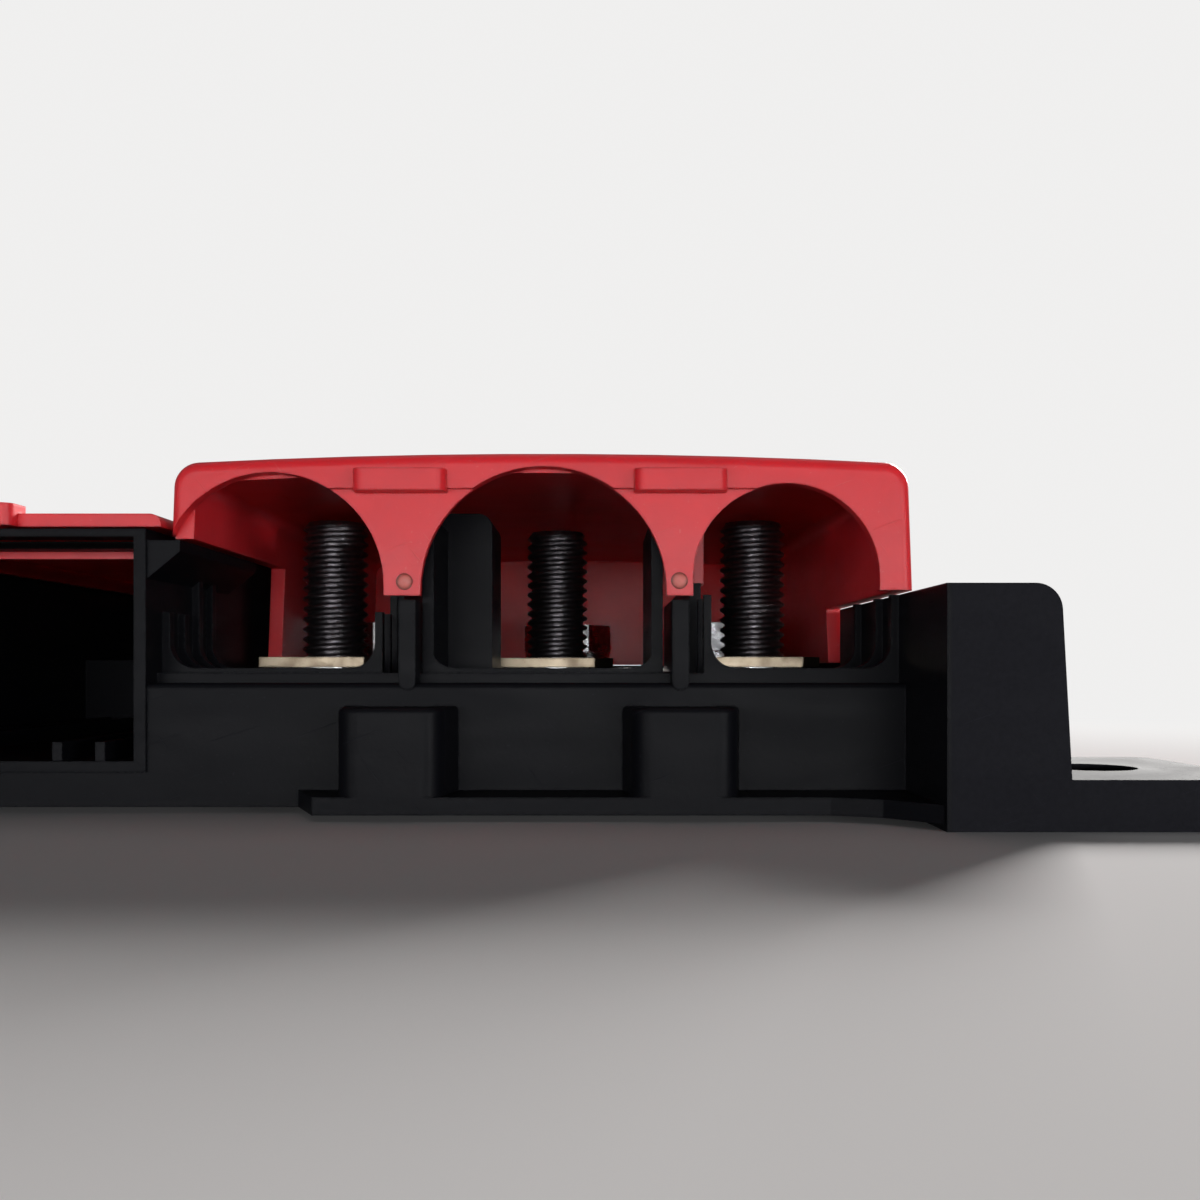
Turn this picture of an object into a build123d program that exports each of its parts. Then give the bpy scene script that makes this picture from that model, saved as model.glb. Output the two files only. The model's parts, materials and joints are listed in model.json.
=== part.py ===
"""Bolt-down fuse box for a vehicle or boat.

Three threaded output studs stand in cable bays under a hinged cover with three arched mouths. A flat
fuse strip runs from each stud back to a common bus bar, which is fed from a stud in a side bay under
its own lid. Four lugs bolt the moulded housing down.

Units are millimetres. The origin is the middle of the footprint on the mounting plane. +X is to the
right for someone facing the arches, +Y points away from that person and +Z is up.
"""

import math
import os

from build123d import *

# Plan of the housing, from left to right
side_wall = 1.5
feed_width = 32.2
partition = 1.2
terminal_width = 75.9
deck_depth = 104.0

# Main heights above the mounting plane
foot_z = 0.6
deck_z = 14.0
sill_z = 13.0
feed_floor_z = 5.2
cover_top_z = 36.1


def across(share):
    """Distance from side to side that grows with the width of the output bays."""
    return share * terminal_width


def behind(share):
    """Distance from front to back that grows with the depth of the deck."""
    return share * deck_depth


def above_deck(share):
    """Height at a share of the way from the deck up to the top of the cover."""
    return deck_z + share * (cover_top_z - deck_z)


# Heights of the walls that the cover and the lid close over
feed_top_z = above_deck(0.6516)
beam_z = above_deck(0.362)
divider_z = above_deck(0.4525)
inner_wall_z = above_deck(0.724)

# Lugs and the corner blocks that carry them
lug_thickness = 4.6
lug_reach = 18.8
lug_depth = 28.2
lug_corner = 2.0
lug_hole_r = 4.5
lug_hole_in = 11.9
block_width = 11.3
block_reach = 14.3
block_draft = 1.2
block_round = 2.4
block_edge = 0.8
beam_back = behind(0.3192)
beam_wall = 2.4

# Output bays: stud places from the bay's left side, and how far the studs stand behind the front wall
left_stud_in = across(0.16206)
left_pitch = across(0.35968)
right_pitch = across(0.32543)
outer_setback = behind(0.2904)
middle_setback = behind(0.39423)

# Cover: arches, walls and bottom edges
left_arch_r = across(0.1476)
middle_arch_r = across(0.1634)
right_arch_r = across(0.1225)
right_arch_in = 0.3
left_arch_drop = 2.0
middle_arch_drop = 1.4
right_arch_drop = 3.1
cover_wall = 1.8
cover_crown = 1.0
cover_draft = 0.7
cover_corner = 2.6
cover_edge = 1.1
cover_left_gap = 1.8
cover_right_lap = 1.1
leg_z = above_deck(0.3756)
leg_width = 6.0
left_leg_z = above_deck(0.6154)
tongue_z = above_deck(0.353)
skirt_gap = 0.6
skirt_back = behind(0.3606)
cover_rear_in = 1.0
band_height = 3.6
band_step = 0.8
web_thickness = 1.2
web_off = 3.6
web_gap = 0.4
web_setback = behind(0.2115)
web_length = behind(0.1538)

# Finger tabs of the cover and the lid
tab_width = 9.2
tab_height = 2.2
tab_reach = 1.7
tab_round = 1.1
tab_drop = 2.9

# Dividers between the output bays
divider_rib = 1.7
divider_rib_z = above_deck(0.3303)
divider_rib_foot_z = 12.3
divider_rib_proud = 0.4
left_rib_shift = 0.7
outer_wall = 1.3
outer_wall_off = 1.9
outer_wall_setback = behind(0.1346)
inner_wall = 1.2
inner_wall_off = 1.55
inner_wall_setback = 4.2
divider_length = behind(0.5192)
post_width = 5.6
post_depth = behind(0.1154)
post_setback = behind(0.1538)
post_z = above_deck(0.8145)
post_round = 0.6
post_top_round = 1.6

# Front wall, its sill and its cable-tie loops
sill_wall = 1.8
sill_round = 0.6
groove_width = 1.0
groove_depth = 0.8
loop_width = 11.6
loop_reach = 7.1
loop_z = 10.7
loop_taper = 1.0
loop_round = 2.2
loop_edge = 0.5
slot_width = 6.7
slot_depth = 1.5
lip_z = 2.3
lip_left_in = across(0.1344)
lip_right_in = across(0.195)
lip_left_taper = 3.0
gusset_x = 4.4
gusset_y = 9.0

# Ribs that hold the cables, as distances behind the front wall
rib_proud = 0.8
rib_floor = 0.5
rib_depth = 1.2
rib_round = 2.6
rib_root = 0.3
low_rib_z = above_deck(0.2851)
tall_rib_z = above_deck(0.4977)
left_rib_start = 2.4
left_rib_pitch = behind(0.0442)
low_rib_count = 2
tall_rib_count = 2
right_rib_shares = (0.0, 0.4, 1.0)
right_rib_gap = 1.4

# Side bay: bars and raised border of its mouth, floor rails, pedestal and the rim beside the cover
frame_bar = 0.8
frame_depth = 3.0
frame_pitch = behind(0.1154)
frame_proud = 0.4
frame_border = 1.1
pedestal_front = 17.2
stop_height = 1.8
stop_depth = 1.2
rail_width = 1.0
rail_height = 1.9
rail_pitch = 4.3
rail_in = 3.5
rail_count = 2
rim_z = above_deck(0.6018)
rim_width = 3.3
rim_height = 2.2
rim_length = behind(0.2548)

# Largest difference between heights that count as the same
same_height = 0.01

# Coring of the underside
core_wall = 2.0
core_rib = 1.6
core_roof = 3.4
floor_roof = 2.4
core_round = 1.5
core_pitch = behind(0.1346)
pad_r = 9.0

# Metal parts: M8 studs, washers, fuse strips, bus bar and bolts
thread_r = 4.0
shank_r = 3.75
thread_start = 0.12
stud_top_z = above_deck(0.8416)
feed_stud_drop = 1.2
stud_chamfer = 0.9
hex_flats = 13.0
hex_height = 5.3
hex_roof = 4.7
hole_gap = 0.12
washer_in = 0.2
washer_thickness = 0.65
strip_gap = 0.35
strip_thickness = 1.2
strip_pitch = behind(0.4904)
strip_end = 8.0
strip_hole_r = 4.3
strip_chamfer = 2.4
neck_share = 0.311
neck_length_share = 0.946
bar_thickness = 2.0
bar_width = 16.0
bar_end = 8.5
bar_round = 2.0
flange_r = 7.2
flange_thickness = 1.6
bolt_head = 6.2
bolt_length = 11.0
insert_r = 5.8
insert_length = 8.5
insert_grooves = 2
insert_groove = 0.5
insert_gap = 0.05

# Hinges and lid
pin_r = 1.5
pin_gap = 0.06
pin_length = 2.0
knuckle_r = 2.6
knuckle_gap = 0.4
knuckle_length = 10.0
ear_thickness = 2.6
ear_gap = 0.3
ear_drop = 9.0
cover_hinge_z = 17.0
knuckle_inset = 16.0
lid_knuckle_inset = 8.6
lid_thickness = 1.3
lid_gap = 0.2
lid_overhang = 1.5
lid_edge = 1.1
lid_knuckle_drop = 0.4
lid_rim_gap = 0.4
lid_rim_back = 1.0
lid_rim_height = 1.6
lid_rim_wall = 1.2
curb_gap = 0.3
curb_width = 1.2
curb_height = 3.0

# Places worked out from the sizes above
housing_width = side_wall + feed_width + partition + terminal_width
front_y = -deck_depth / 2
rear_y = deck_depth / 2
left_x = -housing_width / 2
feed_x0 = left_x + side_wall
feed_x1 = feed_x0 + feed_width
bay_x0 = feed_x1 + partition
bay_x1 = bay_x0 + terminal_width
feed_mid_x = (feed_x0 + feed_x1) / 2
block_x1 = bay_x1 + block_width
lug_x1 = block_x1 + lug_reach
lug_y = rear_y + block_reach - lug_depth / 2

bays = ("left", "middle", "right")
stud_x = {"left": bay_x0 + left_stud_in}
stud_x["middle"] = stud_x["left"] + left_pitch
stud_x["right"] = stud_x["middle"] + right_pitch
setback = {"left": outer_setback, "middle": middle_setback, "right": outer_setback}
stud_y = {bay: front_y + setback[bay] for bay in bays}
bolt_y = {bay: stud_y[bay] + strip_pitch for bay in bays}

arch_x = dict(stud_x, right=stud_x["right"] - right_arch_in)
arch_r = {"left": left_arch_r, "middle": middle_arch_r, "right": right_arch_r}
arch_drop = {"left": left_arch_drop, "middle": middle_arch_drop, "right": right_arch_drop}
arch_z = {bay: cover_top_z - arch_drop[bay] - arch_r[bay] for bay in bays}
divider_x = {
    side: (arch_x[a] + arch_r[a] + arch_x[b] - arch_r[b]) / 2
    for side, a, b in (("left", "left", "middle"), ("right", "middle", "right"))
}
inner_x0 = divider_x["left"] + inner_wall_off
inner_x1 = divider_x["right"] - inner_wall_off
outer_x0 = divider_x["left"] - outer_wall_off
outer_x1 = divider_x["right"] + outer_wall_off
strip_width = 2 * (stud_x["right"] - outer_x1 - outer_wall - strip_gap)
washer_r = strip_width / 2 - washer_in

bar_z = deck_z + washer_thickness
strip_top_z = bar_z + strip_thickness
feed_y = bolt_y["left"]
pedestal_y = feed_y - pedestal_front
hex_top_z = deck_z - hex_roof
hex_r = hex_flats / 2 / math.cos(math.radians(30))
hole_r = thread_r + hole_gap

cover_x0 = bay_x0 + cover_left_gap
cover_x1 = bay_x1 + cover_right_lap
cover_rear_y = rear_y - cover_rear_in
skirt_z = bar_z + skirt_gap
skirt_y = front_y + skirt_back
beam_end_y = front_y + beam_back
curb_x0 = cover_x1 + curb_gap
curb_x1 = curb_x0 + curb_width
band_z = cover_top_z - band_height
tab_z = cover_top_z - tab_drop
rib_y = front_y + sill_wall + groove_width
right_rib_span = stud_y["right"] - washer_r - right_rib_gap - rib_depth - rib_y
hinge_y = rear_y + knuckle_gap + knuckle_r
lid_z = feed_top_z + lid_gap
lid_hinge_z = lid_z - lid_knuckle_drop - knuckle_r

cover_knuckle_x = (cover_x0 + knuckle_inset, cover_x1 - knuckle_inset)
lid_knuckle_x = (feed_x0 + lid_knuckle_inset, feed_x1 - lid_knuckle_inset)
stud_places = [(stud_x[bay], stud_y[bay]) for bay in bays] + [(feed_mid_x, feed_y)]
bolt_places = [(stud_x[bay], bolt_y[bay]) for bay in bays]


def box_between(x0, x1, y0, y1, z0, z1, mode=Mode.ADD):
    """Add or cut a plain block between two corners."""
    with Locations(((x0 + x1) / 2, (y0 + y1) / 2, (z0 + z1) / 2)):
        Box(x1 - x0, y1 - y0, z1 - z0, mode=mode)


def front_plane(y):
    """Upright sketch plane at y, with its local X and Y along the part's X and Z, facing -Y."""
    return Plane(origin=(0, y, 0), x_dir=(1, 0, 0), z_dir=(0, -1, 0))


def side_plane(x):
    """Upright sketch plane at x, with its local X and Y along the part's Y and Z, facing +X."""
    return Plane(origin=(x, 0, 0), x_dir=(0, 1, 0), z_dir=(1, 0, 0))


def corner_block(side, y0, y1, top_z):
    """Block outside the housing wall that carries a lug, drafted and rounded on its outer side."""
    with BuildSketch(front_plane(y1)) as outline:
        with BuildLine():
            Polyline(
                (side * bay_x1, 0),
                (side * block_x1, 0),
                (side * (block_x1 - block_draft), top_z),
                (side * bay_x1, top_z),
                close=True,
            )
        face = make_face()
        fillet(face.vertices().group_by(Axis.Y)[-1].sort_by(Axis.X)[-1 if side > 0 else 0], block_round)
    extrude(outline.sketch, amount=y1 - y0)


def lug(side, y):
    """Bolting lug with rounded outer corners and one clearance hole."""
    inner = block_x1 - block_draft
    with BuildSketch(Plane.XY) as outline:
        with Locations((side * (inner + lug_x1) / 2, y)):
            face = Rectangle(lug_x1 - inner, lug_depth)
        ends = face.vertices().sort_by(Axis.X)
        fillet(ends[-2:] if side > 0 else ends[:2], lug_corner)
        with Locations((side * (lug_x1 - lug_hole_in), y)):
            Circle(lug_hole_r, mode=Mode.SUBTRACT)
    extrude(outline.sketch, amount=lug_thickness)


def terminal_deck():
    """Deck of the output bays, drawn as its section: front wall, rounded sill, groove and raised floor."""
    groove_y = front_y + sill_wall
    step_y = groove_y + groove_width
    with BuildSketch(side_plane(left_x + side_wall)) as outline:
        with BuildLine():
            Polyline(
                (front_y, foot_z),
                (front_y, sill_z),
                (groove_y, sill_z),
                (groove_y, sill_z - groove_depth),
                (step_y, sill_z - groove_depth),
                (step_y, deck_z),
                (rear_y, deck_z),
                (rear_y, foot_z),
                close=True,
            )
        section = make_face()
        fillet(section.vertices().group_by(Axis.X)[0].sort_by(Axis.Y)[-1], sill_round)
    extrude(outline.sketch, amount=bay_x1 - left_x - side_wall)


def side_bay():
    """Open-fronted bay for the feed cable, with its pedestal, mouth border, rails and stop."""
    box_between(left_x, bay_x0, front_y, rear_y, foot_z, feed_top_z)
    box_between(feed_x0, feed_x1, front_y, pedestal_y, feed_floor_z, feed_top_z, mode=Mode.SUBTRACT)
    box_between(feed_x0, feed_x1, pedestal_y, rear_y - side_wall, deck_z, feed_top_z, mode=Mode.SUBTRACT)
    for bar_y in (front_y, front_y + frame_pitch):
        box_between(feed_x0, feed_x1, bar_y, bar_y + frame_depth, feed_top_z - frame_bar, feed_top_z)
    mouth_top = feed_top_z - frame_bar
    with BuildSketch(front_plane(front_y)) as outline:
        with Locations(((left_x + bay_x0) / 2, (feed_floor_z - frame_border + feed_top_z) / 2)):
            Rectangle(bay_x0 - left_x, feed_top_z - feed_floor_z + frame_border)
        with Locations((feed_mid_x, (feed_floor_z + mouth_top) / 2)):
            Rectangle(feed_width, mouth_top - feed_floor_z, mode=Mode.SUBTRACT)
    extrude(outline.sketch, amount=frame_proud)
    for rail in range(rail_count):
        reach = rail_in + rail * rail_pitch
        for x in (feed_x0 + reach, feed_x1 - reach):
            rail_x0 = x - rail_width / 2
            box_between(
                rail_x0, rail_x0 + rail_width, front_y, pedestal_y, feed_floor_z, feed_floor_z + rail_height
            )
    box_between(feed_x0, feed_x1, pedestal_y, pedestal_y + stop_depth, deck_z, deck_z + stop_height)


def cover_rim():
    """Rim along the partition that the cover's left edge closes over."""
    with BuildSketch(front_plane(front_y + rim_length)) as outline:
        with BuildLine():
            Polyline(
                (bay_x0, rim_z),
                (bay_x0 + rim_width, rim_z),
                (bay_x0 + rim_width, rim_z - rim_height / 2),
                (bay_x0, rim_z - rim_height - rim_width / 2),
                close=True,
            )
        make_face()
    extrude(outline.sketch, amount=rim_length)


def dividers():
    """Slim rib at the sill, low wall for the outer bay and tall wall for the middle bay, on each side."""
    step_y = front_y + sill_wall + groove_width
    for side, shift in (("left", left_rib_shift), ("right", 0.0)):
        x = divider_x[side] + shift
        foot_z_centre = divider_rib_foot_z + divider_rib / 2
        with BuildSketch(front_plane(step_y)) as outline:
            with Locations((x, (foot_z_centre + divider_rib_z) / 2)):
                Rectangle(divider_rib, divider_rib_z - foot_z_centre)
            with Locations((x, foot_z_centre)):
                Circle(divider_rib / 2)
        extrude(outline.sketch, amount=step_y - front_y + divider_rib_proud)
    outer_y0 = front_y + outer_wall_setback
    outer_y1 = outer_y0 + divider_length
    box_between(outer_x0 - outer_wall, outer_x0, outer_y0, outer_y1, deck_z, divider_z)
    box_between(outer_x1, outer_x1 + outer_wall, outer_y0, outer_y1, deck_z, divider_z)
    inner_y0 = front_y + inner_wall_setback
    inner_y1 = front_y + post_setback + post_depth
    box_between(inner_x0, inner_x0 + inner_wall, inner_y0, inner_y1, deck_z, inner_wall_z)
    box_between(inner_x1 - inner_wall, inner_x1, inner_y0, inner_y1, deck_z, inner_wall_z)


def roof_post():
    """Post at the left of the middle bay that stops the cover's roof being pressed onto the studs."""
    x0 = inner_x0 + inner_wall / 2
    y0 = front_y + post_setback
    with BuildSketch(front_plane(y0 + post_depth)) as outline:
        with Locations((x0 + post_width / 2, (deck_z + post_z) / 2)):
            face = Rectangle(post_width, post_z - deck_z)
        fillet(face.vertices().group_by(Axis.Y)[-1].sort_by(Axis.X)[-1], post_top_round)
        fillet(face.vertices().group_by(Axis.Y)[-1].sort_by(Axis.X)[0], post_round)
    extrude(outline.sketch, amount=post_depth)


def strain_rib(x0, x1, y, top_z):
    """U-shaped rib round a bay: across the deck and up both walls, with rounded inner corners."""
    floor_z = deck_z + rib_floor
    with BuildSketch(front_plane(y + rib_depth)) as outline:
        with Locations(((x0 + x1) / 2, (deck_z - rib_root + top_z) / 2)):
            Rectangle(x1 - x0, top_z - deck_z + rib_root)
        with BuildSketch(mode=Mode.PRIVATE) as hollow:
            with Locations(((x0 + x1) / 2, (floor_z + top_z + rib_round) / 2)):
                inner = Rectangle(x1 - x0 - 2 * rib_proud, top_z + rib_round - floor_z)
            fillet(inner.vertices().group_by(Axis.Y)[0], rib_round)
        add(hollow.sketch, mode=Mode.SUBTRACT)
    extrude(outline.sketch, amount=rib_depth)


def strain_ribs():
    """All the cable ribs: four in the left bay, one in the middle bay and three in the right bay."""
    left_edges = (bay_x0, outer_x0 - outer_wall / 2)
    right_edges = (outer_x1 + outer_wall / 2, bay_x1)
    for index in range(low_rib_count + tall_rib_count):
        top_z = low_rib_z if index < low_rib_count else tall_rib_z
        strain_rib(*left_edges, front_y + sill_wall + left_rib_start + index * left_rib_pitch, top_z)
    for share in right_rib_shares:
        strain_rib(*right_edges, rib_y + share * right_rib_span, beam_z)
    strain_rib(inner_x0, inner_x1, front_y + inner_wall_setback, inner_wall_z)


def tie_loop(x):
    """Moulded boss on the front wall, with rounded edges, that a cable tie passes behind."""
    with BuildSketch(Plane.XY.offset(foot_z)) as outline:
        with BuildLine():
            Polyline(
                (x - loop_width / 2, front_y),
                (x - loop_width / 2 + loop_taper, front_y - loop_reach),
                (x + loop_width / 2 - loop_taper, front_y - loop_reach),
                (x + loop_width / 2, front_y),
                close=True,
            )
        face = make_face()
        fillet(face.vertices().group_by(Axis.Y)[0], loop_round)
    extrude(outline.sketch, amount=loop_z - foot_z)


def front_lip():
    """Thin lip under the tie loops, tapered at its left end, with a gusset that meets the right block."""
    x0 = divider_x["left"] - lip_left_in
    x1 = divider_x["right"] + lip_right_in
    lip_y = front_y - loop_reach
    with BuildSketch(Plane.XY.offset(foot_z)) as outline:
        with BuildLine():
            Polyline(
                (x0, front_y), (x0 + lip_left_taper, lip_y), (x1, lip_y), (x1, front_y), close=True
            )
        make_face()
        with BuildLine():
            Polyline(
                (x1 - lip_left_taper, front_y),
                (x1 - lip_left_taper, lip_y + block_edge),
                (bay_x1 - gusset_x, front_y - gusset_y),
                (bay_x1, front_y - block_reach + block_edge),
                (bay_x1, front_y),
                close=True,
            )
        make_face()
    extrude(outline.sketch, amount=lip_z - foot_z)


def hinge_ears(x, z, root_z):
    """Pair of ears behind the rear wall, one each side of a knuckle centred at x."""
    wall_y = rear_y - side_wall / 2
    for end in (-1, 1):
        near = x + end * (knuckle_length / 2 + ear_gap)
        with BuildSketch(side_plane(min(near, near + end * ear_thickness))) as outline:
            with BuildLine():
                Polyline(
                    (hinge_y - knuckle_r, z),
                    (hinge_y + knuckle_r, z),
                    (hinge_y + knuckle_r, z - knuckle_r),
                    (rear_y, z - ear_drop),
                    (wall_y, z - ear_drop),
                    (wall_y, root_z),
                    close=True,
                )
            make_face()
            with Locations((hinge_y, z)):
                Circle(knuckle_r)
                Circle(pin_r + pin_gap, mode=Mode.SUBTRACT)
        extrude(outline.sketch, amount=ear_thickness)


def knuckle(x, z):
    """Barrel with a stub pin at each end, on the hinge line."""
    with Locations(Location((x, hinge_y, z), (0, 90, 0))):
        Cylinder(knuckle_r, knuckle_length)
        Cylinder(pin_r, knuckle_length + 2 * (ear_gap + pin_length))


def near_fastener(x, y, cell_x, cell_y):
    """Whether a hollow of the given size would cut into the pad round a fastener."""
    return any(
        math.hypot(max(abs(x - px) - cell_x / 2, 0), max(abs(y - py) - cell_y / 2, 0)) < pad_r
        for px, py in stud_places + bolt_places
    )


def core(x0, x1, y0, y1, bottom_z, roof_z):
    """Cut a grid of hollows into the underside between two corners, leaving ribs and fastener pads."""
    columns = max(1, round((x1 - x0) / core_pitch))
    rows = max(1, round((y1 - y0) / core_pitch))
    cell_x = (x1 - x0 - (columns - 1) * core_rib) / columns
    cell_y = (y1 - y0 - (rows - 1) * core_rib) / rows
    centres = [
        (x0 + cell_x / 2 + column * (cell_x + core_rib), y0 + cell_y / 2 + row * (cell_y + core_rib))
        for column in range(columns)
        for row in range(rows)
    ]
    free = [(x, y) for x, y in centres if not near_fastener(x, y, cell_x, cell_y)]
    with BuildSketch(Plane.XY.offset(bottom_z)) as outline:
        with Locations(*free):
            RectangleRounded(cell_x, cell_y, core_round)
    extrude(outline.sketch, amount=roof_z - bottom_z, mode=Mode.SUBTRACT)


def core_underside():
    """Hollow out the decks and the corner blocks from below."""
    y0 = front_y + core_wall
    y1 = rear_y - core_wall
    core(bay_x0 + core_wall / 2, bay_x1 - core_wall, y0, y1, foot_z, deck_z - core_roof)
    core(feed_x0 + core_wall / 2, feed_x1, y0, pedestal_y, foot_z, feed_floor_z - floor_roof)
    core(feed_x0 + core_wall / 2, feed_x1, pedestal_y + core_wall, y1, foot_z, deck_z - core_roof)
    blocks = (
        (front_y - block_reach, beam_end_y, beam_z),
        (lug_y - lug_depth / 2, lug_y + lug_depth / 2, deck_z),
    )
    for block_y0, block_y1, top_z in blocks:
        inner = bay_x1 + beam_wall
        outer = block_x1 - block_draft - beam_wall
        core(inner, outer, block_y0 + beam_wall, block_y1 - beam_wall, 0, top_z - beam_wall)
        core(-outer, -inner, block_y0 + beam_wall, block_y1 - beam_wall, 0, top_z - beam_wall)


def fastener_seats():
    """Cut the hexagon pockets and holes for the studs, and the blind bores for the inserts."""
    with BuildSketch(Plane.XY.offset(foot_z)) as outline:
        with Locations(*stud_places):
            RegularPolygon(hex_r + hole_gap, 6)
    extrude(outline.sketch, amount=hex_top_z - foot_z, mode=Mode.SUBTRACT)
    with BuildSketch(Plane.XY.offset(hex_top_z)) as outline:
        with Locations(*stud_places):
            Circle(hole_r)
    extrude(outline.sketch, amount=deck_z - hex_top_z, mode=Mode.SUBTRACT)
    with BuildSketch(Plane.XY.offset(bar_z - bar_thickness - insert_length)) as outline:
        with Locations(*bolt_places):
            Circle(insert_r + insert_gap)
    extrude(outline.sketch, amount=insert_length + bar_thickness, mode=Mode.SUBTRACT)


def bar_outline(grow=0.0):
    """Plan of the bus bar, grown by a clearance where it is the recess."""
    x0 = feed_mid_x - bar_end - grow
    x1 = stud_x["right"] + bar_end + grow
    width = bar_width + 2 * grow
    shift = bolt_y["middle"] - feed_y
    with Locations(((x0 + x1) / 2, feed_y)):
        Rectangle(x1 - x0, width)
    with Locations((stud_x["middle"], feed_y + shift / 2)):
        Rectangle(width, width + shift)


def base_housing():
    """The moulded housing: deck, bays, blocks, lugs, tie loops and hinge ears."""
    with BuildPart() as base:
        terminal_deck()
        side_bay()
        cover_rim()

        # Strip of deck and the curb beside the cover's deep right skirt
        box_between(bay_x1, curb_x1, beam_end_y, rear_y, foot_z, deck_z)
        box_between(curb_x0, curb_x1, beam_end_y, rear_y, deck_z, skirt_z + curb_height)

        # Corner blocks and lugs: tall at the front, level with the deck at the back
        for side in (-1, 1):
            corner_block(side, front_y - block_reach, beam_end_y, beam_z)
            corner_block(side, lug_y - lug_depth / 2, lug_y + lug_depth / 2, deck_z)
            lug(side, -lug_y)
            lug(side, lug_y)

        dividers()
        roof_post()
        strain_ribs()

        # Cable-tie loops, the lip that joins them and the slots behind them
        for side in ("left", "right"):
            tie_loop(divider_x[side])
        loop_tops = base.faces().filter_by(Axis.Z).filter_by(lambda face: abs(face.center().Z - loop_z) < same_height)
        front_edges = loop_tops.edges().filter_by(lambda edge: edge.center().Y < front_y - loop_edge)
        fillet(front_edges, loop_edge)
        front_lip()
        for side in ("left", "right"):
            slot_x0 = divider_x[side] - slot_width / 2
            box_between(
                slot_x0, slot_x0 + slot_width, front_y - slot_depth, front_y, foot_z, loop_z,
                mode=Mode.SUBTRACT,
            )

        # Hinge ears on the rear walls
        for x in cover_knuckle_x:
            hinge_ears(x, cover_hinge_z, deck_z - rib_root)
        for x in lid_knuckle_x:
            hinge_ears(x, lid_hinge_z, lid_hinge_z)

        core_underside()
        fastener_seats()

        # Recess that locates the bus bar, through the partition
        with BuildSketch(Plane.XY.offset(bar_z - bar_thickness)):
            bar_outline(hole_gap)
        extrude(amount=bar_thickness + hole_gap, mode=Mode.SUBTRACT)
    base.part.label = "base_housing"
    return base.part


def cover_outline(inset, bottom_z):
    """Front view of the cover: drafted sides, crowned roof and rounded shoulders."""
    x0 = cover_x0 + inset
    x1 = cover_x1 - inset
    shoulder_z = cover_top_z - cover_crown - inset
    left_shoulder = (x0 + cover_draft, shoulder_z)
    right_shoulder = (x1 - cover_draft, shoulder_z)
    with BuildLine() as outline:
        Polyline(left_shoulder, (x0, bottom_z), (x1, bottom_z), right_shoulder)
        ThreePointArc(left_shoulder, ((x0 + x1) / 2, cover_top_z - inset), right_shoulder)
    face = make_face(outline.edges())
    fillet(face.vertices().group_by(Axis.Y)[-1], cover_corner - inset / 2)


def finger_tab(x, y, z):
    """Small tab with rounded front corners, standing forward of the plane at y."""
    with BuildSketch(Plane.XY.offset(z - tab_height / 2)) as outline:
        with Locations((x, y - tab_reach / 2 + band_step)):
            face = Rectangle(tab_width, tab_reach + 2 * band_step)
        fillet(face.vertices().group_by(Axis.Y)[0], tab_round)
    extrude(outline.sketch, amount=tab_height)


def cut_mouth(bay, y0, y1):
    """Cut one arched cable mouth through the cover's front wall."""
    r = arch_r[bay]
    with BuildSketch(front_plane(y1)) as outline:
        with Locations((arch_x[bay], arch_z[bay])):
            Circle(r)
        with Locations((arch_x[bay], arch_z[bay] - r)):
            Rectangle(2 * r, 2 * r)
    extrude(outline.sketch, amount=y1 - y0, mode=Mode.SUBTRACT)


def terminal_cover():
    """The hinged hood over the output studs."""
    with BuildPart() as cover:
        # Outer form, with its front and rear edges rounded
        with BuildSketch(front_plane(cover_rear_y)):
            cover_outline(0, skirt_z)
        extrude(amount=cover_rear_y - front_y)
        ends = cover.faces().filter_by(Axis.Y)
        fillet(ends.edges().filter_by(lambda edge: edge.center().Z > skirt_z + cover_edge), cover_edge)

        # Hollow
        with BuildSketch(front_plane(cover_rear_y - cover_wall)):
            cover_outline(cover_wall, skirt_z)
        extrude(amount=cover_rear_y - front_y - 2 * cover_wall, mode=Mode.SUBTRACT)

        # Shallow skirt over the front part: tongues, legs and sides stop at their own heights
        box_between(cover_x0, cover_x1, front_y, skirt_y, skirt_z, tongue_z, mode=Mode.SUBTRACT)
        box_between(cover_x1 - leg_width, cover_x1, front_y, skirt_y, skirt_z, leg_z, mode=Mode.SUBTRACT)
        box_between(cover_x0, cover_x0 + leg_width, front_y, skirt_y, skirt_z, left_leg_z, mode=Mode.SUBTRACT)

        # Tongues set back below the band that joins the arches, then the arched cable mouths
        for a, b in (("left", "middle"), ("middle", "right")):
            box_between(
                arch_x[a], arch_x[b], front_y, front_y + band_step, skirt_z, band_z, mode=Mode.SUBTRACT
            )
        for bay in bays:
            cut_mouth(bay, front_y, front_y + cover_wall)

        for side in ("left", "right"):
            finger_tab(divider_x[side], front_y, tab_z)

        # Webs that close down onto the outer bays' walls
        for web_x in (divider_x["left"] - web_off, divider_x["right"] + web_off):
            web_y0 = front_y + web_setback
            web_x0 = web_x - web_thickness / 2
            web_top = cover_top_z - cover_crown - cover_wall / 2
            box_between(
                web_x0, web_x0 + web_thickness, web_y0, web_y0 + web_length, divider_z + web_gap, web_top
            )

        # Knuckles on the rear wall
        for x in cover_knuckle_x:
            knuckle(x, cover_hinge_z)
            half = knuckle_length / 2
            wall_y = cover_rear_y - cover_wall / 2
            box_between(
                x - half, x + half, wall_y, hinge_y, cover_hinge_z - knuckle_r / 2, cover_hinge_z + knuckle_r
            )
    cover.part.label = "terminal_cover"
    return cover.part


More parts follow.
